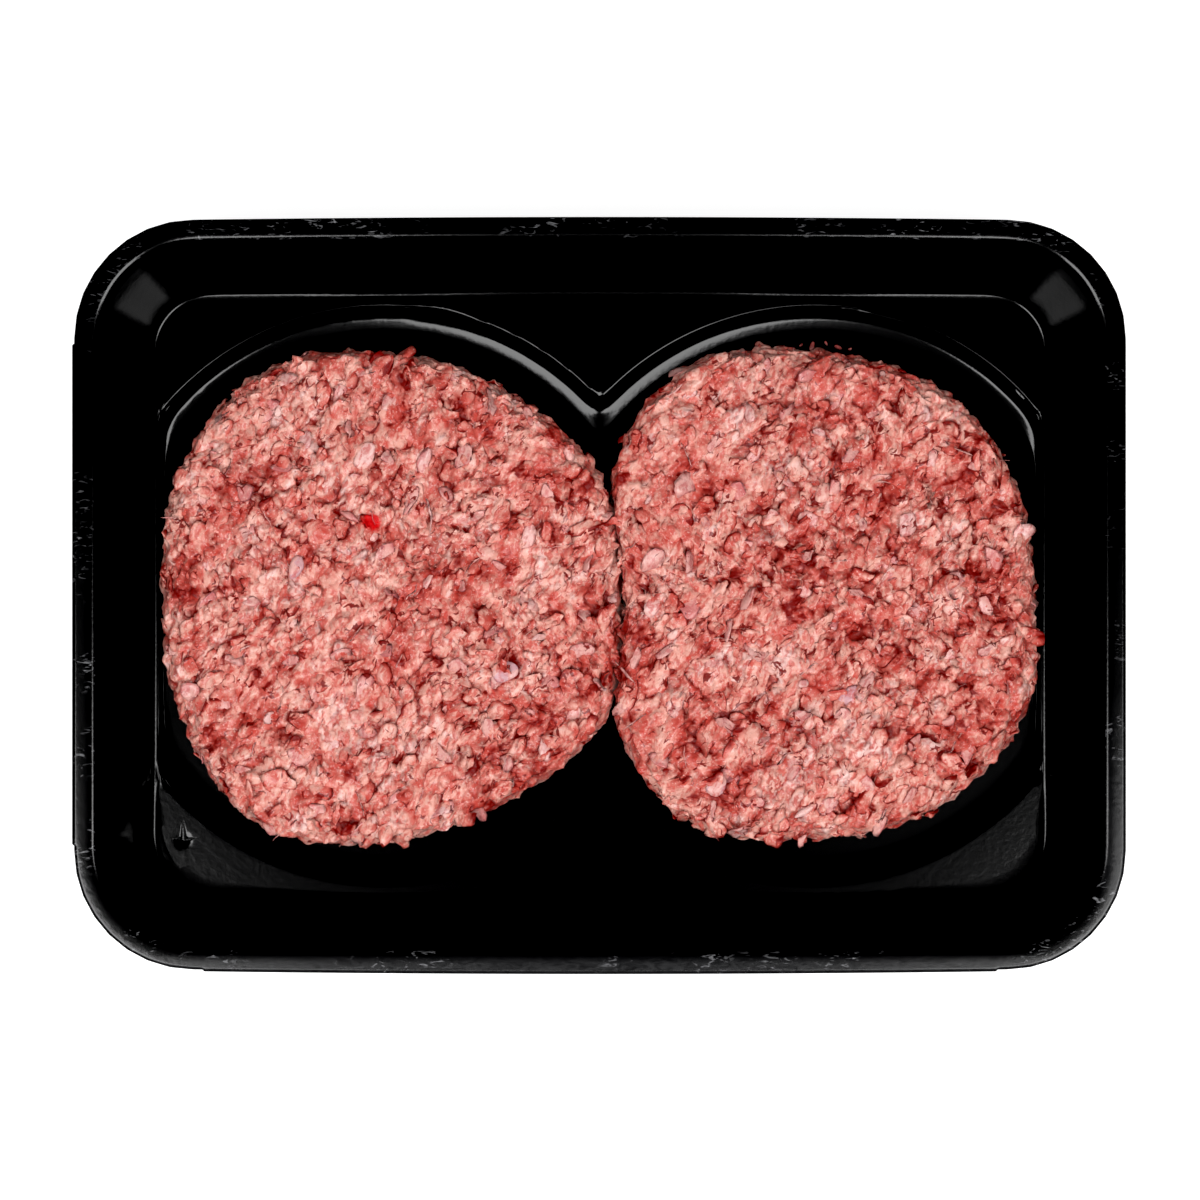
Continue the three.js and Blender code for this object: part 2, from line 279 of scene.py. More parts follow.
class MinceLook(bpy.types.PropertyGroup):
    """Make-up of the mince"""

    # The crevices' colour is partly the wet red meat deep in the gaps and partly painted shade
    deep: FloatVectorProperty(
        name="Crevices",
        description="Wet lean meat deep between the grains",
        default=(0.2, 0.003, 0.002),
        subtype="COLOR",
        min=0,
        max=1,
    )
    lean: FloatVectorProperty(
        name="Lean",
        description="Red lean meat",
        default=(0.58, 0.062, 0.045),
        subtype="COLOR",
        min=0,
        max=1,
    )
    pink: FloatVectorProperty(
        name="Pink",
        description="Lean and fat ground together",
        default=(0.74, 0.2, 0.16),
        subtype="COLOR",
        min=0,
        max=1,
    )
    fat: FloatVectorProperty(
        name="Fat",
        description="Pale fat grains",
        default=(0.86, 0.43, 0.35),
        subtype="COLOR",
        min=0,
        max=1,
    )
    membrane: FloatVectorProperty(
        name="Membrane",
        description="Whitish skin and fibres",
        default=(0.93, 0.58, 0.53),
        subtype="COLOR",
        min=0,
        max=1,
    )
    lilac: FloatVectorProperty(
        name="Lilac",
        description="Tint of the thin skins",
        default=(0.62, 0.33, 0.36),
        subtype="COLOR",
        min=0,
        max=1,
    )
    blood: FloatVectorProperty(
        name="Blood",
        description="The spot of fresh blood on the left patty",
        default=(0.68, 0.004, 0.006),
        subtype="COLOR",
        min=0,
        max=1,
    )
    # How strongly the gaps between the grains are painted with shade
    crevice: FloatProperty(
        name="Crevice strength",
        description="How fully the gaps between the grains turn to the crevices' colour",
        default=0.65,
        min=0,
        max=1,
        subtype="FACTOR",
    )
    seed: IntProperty(
        name="Seed",
        description="Start of the random draws",
        default=7,
    )


class StudioLook(bpy.types.PropertyGroup):
    """Camera, lamps and floor"""

    camera_height: FloatProperty(
        name="Camera height",
        description="Height of the camera over the rim",
        default=0.8,
        unit="LENGTH",
    )
    softbox_power: FloatProperty(
        name="Softbox power",
        description="Power of each of the two large softboxes, which light without a gleam",
        default=2.2,
        unit="POWER",
    )
    key_power: FloatProperty(
        name="Key power",
        description="Power of each of the two lamps that also gleam on the tray",
        default=4.4,
        unit="POWER",
    )
    key_width: FloatProperty(
        name="Key width",
        description="Width of each lamp that gleams on the tray",
        default=0.44,
        unit="LENGTH",
    )
    floor: FloatVectorProperty(
        name="Floor",
        description="Colour of the floor",
        default=(0.9, 0.9, 0.9),
        subtype="COLOR",
        min=0,
        max=1,
    )


# Helpers


def deselect_all():
    if bpy.context.mode != "OBJECT":
        bpy.ops.object.mode_set(mode="OBJECT")
    bpy.ops.object.select_all(action="DESELECT")


def activate(obj):
    deselect_all()
    obj.select_set(True)
    bpy.context.view_layer.objects.active = obj


def copy_of_node(node, name):
    """A merged copy of a fixed solid's mesh, as a new object."""
    mesh = frame["nodes"][node].data.copy()
    mesh.name = name
    mesh.materials.clear()
    obj = bpy.data.objects.new(name, mesh)
    bpy.context.scene.collection.objects.link(obj)
    activate(obj)
    bpy.ops.object.mode_set(mode="EDIT")
    bpy.ops.mesh.select_all(action="SELECT")
    bpy.ops.mesh.remove_doubles(threshold=MERGE_GAP)
    bpy.ops.object.mode_set(mode="OBJECT")
    return obj


def apply_modifier(obj, kind, **settings):
    modifier = obj.modifiers.new(kind.title(), kind)
    for key, value in settings.items():
        setattr(modifier, key, value)
    activate(obj)
    bpy.ops.object.modifier_apply(modifier=modifier.name)


def declare(obj, material, slot, node=None):
    """Gives a finished piece its material and its place in the frame."""
    obj.data.materials.clear()
    obj.data.materials.append(material)
    obj.visible_glossy = slot != "raw_mince"
    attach(obj, "root")
    if node:
        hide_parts(node)


def points_of(mesh):
    points = np.empty(len(mesh.vertices) * 3)
    mesh.vertices.foreach_get("co", points)
    return points.reshape(-1, 3)


def triangles_of(mesh):
    mesh.calc_loop_triangles()
    triangles = np.empty(len(mesh.loop_triangles) * 3, int)
    mesh.loop_triangles.foreach_get("vertices", triangles)
    return triangles.reshape(-1, 3)


# Materials


class Shader:
    """A material's node tree, with short calls for the nodes that these finishes use."""

    def __init__(self, name):
        self.material = bpy.data.materials.new(name)
        self.material.use_nodes = True
        self.tree = self.material.node_tree
        self.principled = self.tree.nodes["Principled BSDF"]
        self.coordinates = self.node("ShaderNodeTexCoord").outputs["Object"]

    def node(self, kind, **settings):
        made = self.tree.nodes.new(kind)
        for key, value in settings.items():
            setattr(made, key, value)
        return made

    def link(self, source, target):
        self.tree.links.new(source, target)

    def fill(self, socket, value):
        if isinstance(value, bpy.types.NodeSocket):
            self.link(value, socket)
        else:
            socket.default_value = value

    def set(self, **values):
        for key, value in values.items():
            socket = self.principled.inputs[key.replace("_", " ")]
            self.fill(socket, value)

    def noise(self, width, detail=3, distortion=0, place=None, out="Fac"):
        made = self.node("ShaderNodeTexNoise")
        self.link(place or self.coordinates, made.inputs["Vector"])
        made.inputs["Scale"].default_value = 1 / width
        made.inputs["Detail"].default_value = detail
        made.inputs["Distortion"].default_value = distortion
        return made.outputs[out]

    def cells(self, width, out, feature, place):
        made = self.node("ShaderNodeTexVoronoi", feature=feature)
        self.link(place, made.inputs["Vector"])
        made.inputs["Scale"].default_value = 1 / width
        return made.outputs[out]

    def warped(self, width, reach):
        """The coordinates, pushed about by noise."""
        push = self.noise(width, 1, out="Color")
        centred = self.node("ShaderNodeVectorMath", operation="SUBTRACT")
        self.link(push, centred.inputs[0])
        centred.inputs[1].default_value = (0.5, 0.5, 0.5)
        scaled = self.node("ShaderNodeVectorMath", operation="SCALE")
        self.link(centred.outputs[0], scaled.inputs[0])
        scaled.inputs["Scale"].default_value = reach
        moved = self.node("ShaderNodeVectorMath", operation="ADD")
        self.link(self.coordinates, moved.inputs[0])
        self.link(scaled.outputs[0], moved.inputs[1])
        return moved.outputs[0]

    def stretched(self, scale):
        made = self.node("ShaderNodeMapping")
        self.link(self.coordinates, made.inputs["Vector"])
        made.inputs["Scale"].default_value = scale
        return made.outputs["Vector"]

    def smeared(self, place):
        """A place drawn out along the way that the mince was smeared."""
        made = self.node("ShaderNodeMapping", vector_type="TEXTURE")
        self.link(place, made.inputs["Vector"])
        made.inputs["Rotation"].default_value = (0, 0, SMEAR)
        made.inputs["Scale"].default_value = (*DRAWN, 1)
        return made.outputs["Vector"]

    def span(self, value, low, high, to_low=0, to_high=1):
        made = self.node("ShaderNodeMapRange")
        self.fill(made.inputs["Value"], value)
        made.inputs["From Min"].default_value = low
        made.inputs["From Max"].default_value = high
        made.inputs["To Min"].default_value = to_low
        made.inputs["To Max"].default_value = to_high
        return made.outputs["Result"]

    def math(self, operation, first, second=0):
        made = self.node("ShaderNodeMath", operation=operation)
        self.fill(made.inputs[0], first)
        self.fill(made.inputs[1], second)
        return made.outputs[0]

    def mix(self, share, first, second):
        made = self.node("ShaderNodeMix", data_type="RGBA")
        self.fill(made.inputs["Factor"], share)
        self.fill(made.inputs["A"], first)
        self.fill(made.inputs["B"], second)
        return made.outputs["Result"]

    def axis(self, name):
        made = self.node("ShaderNodeSeparateXYZ")
        self.link(self.coordinates, made.inputs[0])
        return made.outputs[name]

    def bump(self, height, distance, strength):
        made = self.node("ShaderNodeBump")
        self.link(height, made.inputs["Height"])
        made.inputs["Distance"].default_value = distance
        made.inputs["Strength"].default_value = strength
        return made.outputs["Normal"]


def rgba(colour):
    return (*colour, 1)


def black_plastic(look):
    """Glossy black sheet with a fine orange peel, scuffed seal residue on the flange, and a
    painted sheen of the lamps along the front and right flange.
    """
    shader = Shader("black_plastic")
    on_rim = shader.span(shader.axis("Z"), RIM_LEVEL - 0.5 * MM, RIM_LEVEL - 0.2 * MM)
    scratches = shader.noise(1.1 * MM, 4, 1.5, shader.stretched((0.35, 1, 1)))
    patches = shader.noise(14 * MM, 2)
    scuffed = shader.math(
        "MULTIPLY", shader.span(scratches, 0.6, 0.72), shader.span(patches, 0.48, 0.62)
    )
    marks = shader.math("MULTIPLY", scuffed, on_rim)
    # Painted sheen: the lamps' reflection painted in grey along the front and right flange,
    # broken up by the scratches, and the sheet is rougher there
    front = shader.span(shader.axis("Y"), -78.5 * MM, -80.5 * MM)
    right = shader.span(shader.axis("X"), 109 * MM, 113 * MM)
    right = shader.math("MULTIPLY", right, shader.span(shader.axis("Y"), -20 * MM, -60 * MM))
    painted_sheen = shader.math("MULTIPLY", shader.math("MAXIMUM", front, right), on_rim)
    painted_sheen = shader.math("MULTIPLY", painted_sheen, shader.span(scratches, 0.3, 0.6, 0.4, 1))
    colour = shader.mix(painted_sheen, rgba(look.plastic), rgba(look.painted_sheen))
    shader.set(
        Base_Color=shader.mix(marks, colour, rgba(look.residue)),
        Roughness=shader.span(shader.math("MAXIMUM", marks, painted_sheen), 0, 1, look.roughness, 0.26),
        Specular_IOR_Level=0.4,
    )
    peel = shader.bump(shader.noise(look.peel, 2), 0.02 * MM, 0.8)
    shader.set(Normal=peel)
    return shader.material


def mince(look, name, gloss, tint=0, crack_shade_strength=0.95):
    """Moist meat in the colour that each point carries, broken up into its finest grains, with
    thin cracks painted in the crevices' dark red as painted shade, and white specks that are
    partly bits of membrane and partly painted glints.
    """
    shader = Shader(name)
    own = shader.node("ShaderNodeAttribute", attribute_name="meat").outputs["Color"]
    parts = shader.node("ShaderNodeSeparateColor")
    shader.link(own, parts.inputs[0])
    open_air = shader.span(parts.outputs["Green"], 0.01, 0.07)
    fatty = shader.span(parts.outputs["Green"], 0.06, 0.22, 0.3, 1)
    place = shader.smeared(shader.warped(2.0 * MM, 2.0 * MM))
    granule = shader.cells(2.9 * MM, "Color", "F1", place)
    border = shader.cells(2.9 * MM, "Distance", "DISTANCE_TO_EDGE", place)
    smear = shader.noise(1.1 * MM, 3, 0, shader.smeared(place))
    specks = shader.noise(0.45 * MM, 0)
    paler = shader.math("MULTIPLY", shader.span(granule, 0.44, 0.6, 0, 0.72), fatty)
    colour = shader.mix(shader.math("MULTIPLY", paler, open_air), own, rgba(look.fat))
    redder = shader.math("MULTIPLY", shader.span(smear, 0.54, 0.38, 0, 0.72), open_air)
    colour = shader.mix(redder, colour, rgba(look.lean))
    # White specks, partly bits of membrane and partly painted glints on the wet meat
    membrane_specks_and_glints = shader.math("MULTIPLY", shader.span(specks, 0.66, 0.8, 0, 0.5), open_air)
    colour = shader.mix(membrane_specks_and_glints, colour, rgba(look.membrane))
    if tint:
        colour = shader.mix(tint, colour, rgba(look.lilac))
    # Painted shade: thin dark red lines along the grain borders, where the cracks between the
    # grains lie in shadow
    reach = shader.span(shader.noise(3.2 * MM, 1), 0.56, 0.76, 0, 0.12)
    crack_shade = shader.span(shader.math("SUBTRACT", border, reach), 0, -0.03)
    colour = shader.mix(shader.math("MULTIPLY", crack_shade, crack_shade_strength), colour, rgba(look.deep))
    relief = shader.bump(shader.noise(0.8 * MM, 2), 0.3 * MM, 0.9)
    shader.set(
        Base_Color=colour,
        Roughness=shader.span(smear, 0.3, 0.7, gloss, gloss + 0.2),
        Specular_IOR_Level=0.2,
        Coat_Weight=shader.math("MULTIPLY", open_air, 0.45),
        Coat_Roughness=0.17,
        Normal=relief,
    )
    return shader.material


# Grains of mince


def lump_form(seed, rough, rounds, craggy):
    """The points and triangles of one ragged lump, about one unit in radius."""
    deselect_all()
    bpy.ops.mesh.primitive_ico_sphere_add(subdivisions=1, radius=1)
    lump = bpy.context.object
    bpy.ops.object.mode_set(mode="EDIT")
    bpy.ops.mesh.select_all(action="SELECT")
    bpy.ops.transform.vertex_random(offset=rough, uniform=0.8, normal=0.2, seed=seed)
    for turn in range(rounds):
        bpy.ops.mesh.subdivide(
            number_cuts=1,
            smoothness=0.8,
            fractal=craggy / (turn + 1),
            fractal_along_normal=0.5,
            seed=seed + turn,
        )
    bpy.ops.object.mode_set(mode="OBJECT")
    points = points_of(lump.data)
    triangles = triangles_of(lump.data)
    points = points - points.mean(0)
    points = points / np.abs(points).max(0)
    bpy.data.meshes.remove(lump.data)
    return points, triangles


def spread(patty, spacing, generator):
    """Points scattered over a patty's top and sides, no two closer than the spacing."""
    mesh = patty.data
    points = points_of(mesh)
    triangles = triangles_of(mesh)
    corners = points[triangles]
    across = np.cross(corners[:, 1] - corners[:, 0], corners[:, 2] - corners[:, 0])
    double = np.linalg.norm(across, axis=1)
    normals = across / np.maximum(double, 1e-15)[:, None]
    weight = np.where(normals[:, 2] > SCRAP_STEEPEST, double, 0)
    tries = int(6 * weight.sum() / 2 / spacing ** 2)
    picked = generator.choice(len(weight), tries, p=weight / weight.sum())
    u = np.sqrt(generator.random(tries))
    v = generator.random(tries)
    shares = np.stack([1 - u, u * (1 - v), u * v], axis=1)
    spots = (corners[picked] * shares[:, :, None]).sum(1)
    kept = []
    taken = {}
    for i, spot in enumerate(spots):
        cell = tuple(np.floor(spot / spacing).astype(int))
        near = [
            j
            for dx in (-1, 0, 1)
            for dy in (-1, 0, 1)
            for dz in (-1, 0, 1)
            for j in taken.get((cell[0] + dx, cell[1] + dy, cell[2] + dz), ())
        ]
        if all(np.sum((spots[j] - spot) ** 2) > spacing ** 2 for j in near):
            taken.setdefault(cell, []).append(i)
            kept.append(i)
    return spots[kept], normals[picked[kept]]


def lattice_value(cells, seed):
    """A steady pseudo-random number from 0 to 1 for each whole-numbered cell."""
    mixed = (cells * (374761393, 668265263, 2246822519)).sum(-1) + seed * 3266489917
    mixed = mixed.astype(np.uint64) & 0xFFFFFFFF
    mixed = ((mixed ^ (mixed >> np.uint64(13))) * 1274126177) & 0xFFFFFFFF
    mixed = ((mixed ^ (mixed >> np.uint64(15))) * 2246822519) & 0xFFFFFFFF
    return (mixed ^ (mixed >> np.uint64(16))).astype(float) / 0xFFFFFFFF


def field(points, width, seed, octaves=2):
    """Smooth noise of the given width, about 0 to 1, at each point."""
    total, weight = 0, 0
    for octave in range(octaves):
        place = points / width * 2 ** octave + 97.3 * octave
        cell = np.floor(place).astype(np.int64)
        t = place - cell
        t = t * t * (3 - 2 * t)
        value = 0
        for corner in np.ndindex(2, 2, 2):
            share = np.prod(np.where(corner, t, 1 - t), axis=-1)
            value = value + share * lattice_value(cell + corner, seed + octave)
        total = total + value / 2 ** octave
        weight += 1 / 2 ** octave
    return total / weight


def grains(points, width, seed):
    """The nearest grain to each point: distance to its middle, to its border, and its number."""
    place = points / width
    base = np.floor(place).astype(np.int64)
    nearest = np.full(len(points), 9.0)
    second = np.full(len(points), 9.0)
    number = np.zeros(len(points))
    for step in np.ndindex(3, 3, 3):
        cell = base + np.array(step) - 1
        middle = cell + np.stack([lattice_value(cell, seed + k) for k in range(3)], axis=1)
        away = np.linalg.norm(place - middle, axis=1)
        nearer = away < nearest
        second = np.where(nearer, nearest, np.minimum(second, away))
        number = np.where(nearer, lattice_value(cell, seed + 3), number)
        nearest = np.where(nearer, away, nearest)
    return nearest, second - nearest, number


def shifted(points, width, seed, reach):
    """Points pushed about by smooth noise, which makes round grains ragged."""
    push = np.stack([field(points, width, seed + 5 * k) for k in range(3)], axis=1)
    return points + (push - 0.5) * 2 * reach


def ground(points):
    """How far the ground meat rises at each point, how fatty it is, and how deep in a gap."""
    lean = leanness(points)
    ragged = along_smear(shifted(shifted(points, *LARGE_WARP), *SMALL_WARP))
    tightness = field(points, *TIGHTNESS)
    rise = ROLL_HEIGHT * (field(points, *ROLL) - 0.5)
    share = 1.25 - 1.1 * lean
    gap = 0
    for width, swell, blend, opening, seed in GRAIN_SIZES:
        middle, border, number = grains(ragged, width, seed)
        granular = 1 if width > WHOLE_GRAIN else np.clip(1.2 - 0.8 * lean, 0, 1)
        open_here = np.clip((field(points, 2.2 * width, seed + 9) - 0.42) * 5, 0, 1)
        split = np.clip(1 - border * width / opening, 0, 1) * open_here * granular
        rise = rise + granular * swell * (number - 0.5 + 0.5 * (0.5 - middle))
        rise = rise - split * opening
        share = share + blend * (lattice_mix(number, seed) - 0.5) * 2
        gap = np.maximum(gap, split)
    return rise, share, gap * np.clip(1.6 - tightness, 0.4, 1)


def along_smear(points):
    """Points turned and squeezed so that round grains come out drawn along the smear."""
    along = points[:, 0] * math.cos(SMEAR) + points[:, 1] * math.sin(SMEAR)
    across = points[:, 1] * math.cos(SMEAR) - points[:, 0] * math.sin(SMEAR)
    return np.stack([along / DRAWN[0], across / DRAWN[1], points[:, 2]], axis=1)


def beside_neighbour(points):
    """How close, from 0 to 1, points of the right patty lie to the left one, which is over it."""
    left = points_of(bpy.data.objects[PATTIES[0] + "_core"].data)
    left = left[left[:, 0] > SHADE_FROM]
    tree = KDTree(len(left))
    for number, point in enumerate(left):
        tree.insert(point, number)
    tree.balance()
    close = np.zeros(len(points))
    for number in np.nonzero(points[:, 0] < SHADE_TO)[0]:
        away = tree.find(points[number])[2]
        close[number] = 1 - (away - SHADE_START) / (SHADE_END - SHADE_START)
    return np.clip(close, 0, 1)


def side_share(upright):
    """How much of the relief is left from the pressed side, at 0, to the top, at 1."""
    return SIDE_RELIEF + (1 - SIDE_RELIEF) * upright


def photo_place(pixel, scale):
    """Where on the tray a pixel of the photograph lies."""
    offset = np.array([pixel[0] - TRAY_MIDDLE_PIXEL[0], TRAY_MIDDLE_PIXEL[1] - pixel[1]])
    return offset * scale


def lattice_mix(number, seed):
    """Another steady number from 0 to 1 for each grain's own number."""
    return np.modf(number * 57.31 + seed * 0.37)[0]


def turned_axes(normals, yaw, tilt, generator):
    """Axes for each lump: its third stands on the surface, give or take a tilt."""
    up = normals + tilt * generator.normal(size=normals.shape)
    up /= np.linalg.norm(up, axis=1)[:, None]
    side = np.cross(np.stack([-np.sin(yaw), np.cos(yaw), 0 * yaw], axis=1), up)
    side /= np.maximum(np.linalg.norm(side, axis=1), 1e-9)[:, None]
    return np.stack([side, np.cross(up, side), up], axis=2)


class Kind:
    """One kind of scrap in the mince: how large it is, how it lies and how fatty it is."""

    def __init__(self, name, **facts):
        self.name = name
        self.__dict__.update(facts)

    def forms(self, seed):
        return [lump_form(seed + k, *self.form) for k in range(self.form_count)]

    def piece(self, node, look, seed, forms):
        """One mesh with all of a patty's scraps of this kind."""
        generator = np.random.default_rng(seed)
        spots, normals = spread(frame["nodes"][node], self.spacing, generator)
        lean = leanness(spots) + 0.12 * generator.normal(size=len(spots))
        keep = (lean > self.leanest[0]) & (lean < self.leanest[1])
        keep &= generator.random(len(spots)) < np.clip(normals[:, 2] * 1.6, self.at_side, 1)
        if node == PATTIES[1]:
            keep &= beside_neighbour(spots) < 0.1
        spots, normals = spots[keep], normals[keep]
        count = len(spots)
        upright = np.clip(normals[:, 2] / 0.6, 0, 1)
        rise = ground(spots)[0]
        yaw = grain_direction(spots) + self.spin * generator.normal(size=count)
        axes = turned_axes(normals, yaw, self.tilt, generator)
        length = between(generator, *self.length, count)
        width = length * between(generator, *self.width, count)
        height = width * between(generator, *self.height, count)
        proud = between(generator, *self.proud, count)
        proud = proud * upright - SIDE_SINK * (1 - upright)
        spots = spots + normals * (rise * side_share(upright) + proud - height)[:, None]
        sizes = np.stack([length, width, height], axis=1)
        shares = self.share + self.spread * generator.normal(size=count)
        return self.joined(node, forms, spots, axes, sizes, shares, look, generator)

    def joined(self, node, forms, spots, axes, sizes, shares, look, generator):
        pick = generator.integers(len(forms), size=len(spots))
        all_points, all_triangles, all_shares, all_sunk = [], [], [], []
        start = 0
        for k, (points, triangles) in enumerate(forms):
            mine = np.nonzero(pick == k)[0]
            local = points[None] * sizes[mine][:, None, :]
            placed = np.einsum("nij,npj->npi", axes[mine], local) + spots[mine][:, None, :]
            offsets = start + np.arange(len(mine)) * len(points)
            all_points.append(placed.reshape(-1, 3))
            all_triangles.append((triangles[None] + offsets[:, None, None]).reshape(-1, 3))
            # Painted shade: the lower flanks of each lump turn redder and darker, and its sunk
            # foot turns to the crevices' colour
            flank_shade = 1.1 * np.clip(0.75 - points[:, 2], 0, 1)
            all_shares.append((shares[mine][:, None] - flank_shade[None]).ravel())
            all_sunk.append(np.tile(np.clip(0.15 - points[:, 2], 0, 1), len(mine)))
            start += len(mine) * len(points)
        points = shifted(np.concatenate(all_points), *self.warp)
        points[:, 2] = np.maximum(points[:, 2], LOWEST_SCRAP)
        share = np.concatenate(all_shares) + self.mottle * mottle(points)
        share = share + self.blend * ground(points)[1]
        colours = mince_colour(look, share, np.concatenate(all_sunk))
        name = node + "_" + self.name
        return mesh_object(name, points, np.concatenate(all_triangles), colours)


LEAN_SHREDS = Kind(
    "lean",
    spacing=5.4 * MM,
    form=(0.35, 2, 2.6),
    form_count=12,
    leanest=(0.1, 9),
    at_side=0.5,
    length=(2.4 * MM, 4.6 * MM),
    width=(0.35, 0.7),
    height=(0.16, 0.27),
    proud=(-0.2 * MM, 0.15 * MM),
    spin=0.5,
    tilt=0.1,
    share=-0.05,
    blend=0.95,
    spread=0.1,
    mottle=1,
    warp=(1.9 * MM, 71, 1.1 * MM),
)
FAT_GRAINS = Kind(
    "fat",
    spacing=3.1 * MM,
    form=(0.28, 1, 1.6),
    form_count=14,
    leanest=(-9, 0.7),
    at_side=0.5,
    length=(1.4 * MM, 3.2 * MM),
    width=(0.45, 0.75),
    height=(0.22, 0.38),
    proud=(-0.4 * MM, 0.12 * MM),
    spin=0.4,
    tilt=0.12,
    share=0.25,
    blend=0.75,
    spread=0.2,
    mottle=1,
    warp=(1.6 * MM, 73, 0.6 * MM),
)
MEMBRANES = Kind(
    "membrane",
    spacing=8 * MM,
    form=(0.3, 1, 1.8),
    form_count=8,
    leanest=(-9, 9),
    at_side=0,
    length=(1.8 * MM, 3.6 * MM),
    width=(0.4, 0.8),
    height=(0.08, 0.16),
    proud=(0.1 * MM, 0.5 * MM),
    spin=0.9,
    tilt=0.25,
    share=0.8,
    blend=0.4,
    spread=0.25,
    mottle=0.5,
    warp=(2.2 * MM, 77, 1.0 * MM),
)
FIBRES = Kind(
    "fibres",
    spacing=11 * MM,
    form=(0.1, 1, 0.6),
    form_count=6,
    leanest=(-9, 9),
    at_side=0,
    length=(1.8 * MM, 4.0 * MM),
    width=(0.025, 0.045),
    height=(0.7, 0.9),
    proud=(0.1 * MM, 0.4 * MM),
    spin=0.8,
    tilt=0.06,
    share=1.1,
    blend=0,
    spread=0.1,
    mottle=0.2,
    warp=(3.0 * MM, 79, 1.6 * MM),
)


def mottle(points):
    """How much paler or redder than its lump each point is."""
    return 0.9 * (field(points, 2.4 * MM, 31) - 0.5) + 0.7 * (field(points, 0.8 * MM, 47) - 0.5)


def mince_colour(look, share, sunk):
    """Colours from lean at 0 over pink to fat at 1, turning to the crevices' red where sunk,
    which is painted shade.
    """
    knots = (-0.35, 0, 0.5, 1, 1.4)
    tones = np.array([look.deep, look.lean, look.pink, look.fat, look.membrane])
    colour = np.stack([np.interp(share, knots, tones[:, k]) for k in range(3)], axis=1)
    return colour * (1 - sunk[:, None]) + np.array(look.deep) * sunk[:, None]


class HeightMap:
    """The height of a patty's top over a square grid, to tell how deep a point lies."""

    def __init__(self, points):
        self.corner = points[:, :2].min(0) - 3 * MM
        size = np.ceil((points[:, :2].max(0) - self.corner) / MAP_STEP).astype(int) + 10
        top = np.full(size, -1.0)
        np.maximum.at(top, tuple(self.cell(points)), points[:, 2])
        known = top > 0
        top = np.where(known, top, 0)
        self.means = [self.blurred(top, known, reach) for reach, start, full in CREVICES]

    def cell(self, points):
        return ((points[:, :2] - self.corner) / MAP_STEP).astype(int).T

    def blurred(self, top, known, reach):
        """The mean height around each cell."""
        total, count = top, known.astype(float)
        for turn in range(2):
            for axis in (0, 1):
                total = sum(np.roll(total, k, axis) for k in range(-reach, reach + 1))
                count = sum(np.roll(count, k, axis) for k in range(-reach, reach + 1))
        return total / np.maximum(count, 1e-9)

    def sunk(self, points):
        """How deep in a gap each point lies, from 0 to 1."""
        column, row = self.cell(points)
        deepest = 0
        for mean, (reach, start, full) in zip(self.means, CREVICES):
            depth = mean[column, row] - points[:, 2]
            deepest = np.maximum(deepest, np.clip((depth - start) / (full - start), 0, 1))
        fade = (points[:, 2] - CREVICE_FOOT) / (CREVICE_TOP - CREVICE_FOOT)
        return deepest * np.clip(fade, 0, 1)


def mesh_object(name, points, triangles, colours):
    mesh = bpy.data.meshes.new(name)
    mesh.vertices.add(len(points))
    mesh.vertices.foreach_set("co", points.ravel())
    mesh.loops.add(triangles.size)
    mesh.loops.foreach_set("vertex_index", triangles.ravel())
    mesh.polygons.add(len(triangles))
    mesh.polygons.foreach_set("loop_start", np.arange(0, triangles.size, 3))
    mesh.update(calc_edges=True)
    mesh.polygons.foreach_set("use_smooth", np.ones(len(triangles), bool))
    paint_points(mesh, colours)
    obj = bpy.data.objects.new(name, mesh)
    bpy.context.scene.collection.objects.link(obj)
    return obj


def paint_points(mesh, colours):
    layer = mesh.color_attributes.new("meat", "FLOAT_COLOR", "POINT")
    layer.data.foreach_set("color", np.hstack([colours, np.ones((len(colours), 1))]).ravel())


def between(generator, low, high, count):
    return low + (high - low) * generator.random(count)


def leanness(spots):
    """Where the mince is lean and where it is fatty, from 0 to 1."""
    broad = field(spots, 15 * MM, 3)
    close = field(spots, 5 * MM, 9)
    return np.clip((0.45 * broad + 0.55 * close - 0.3) / 0.4, 0, 1)


def grain_direction(spots):
    """Which way the shreds lie, as the press smeared them."""
    return SMEAR - 3.5 * spots[:, 0] + 1.6 * (field(spots, 25 * MM, 21) - 0.5)


# Operators


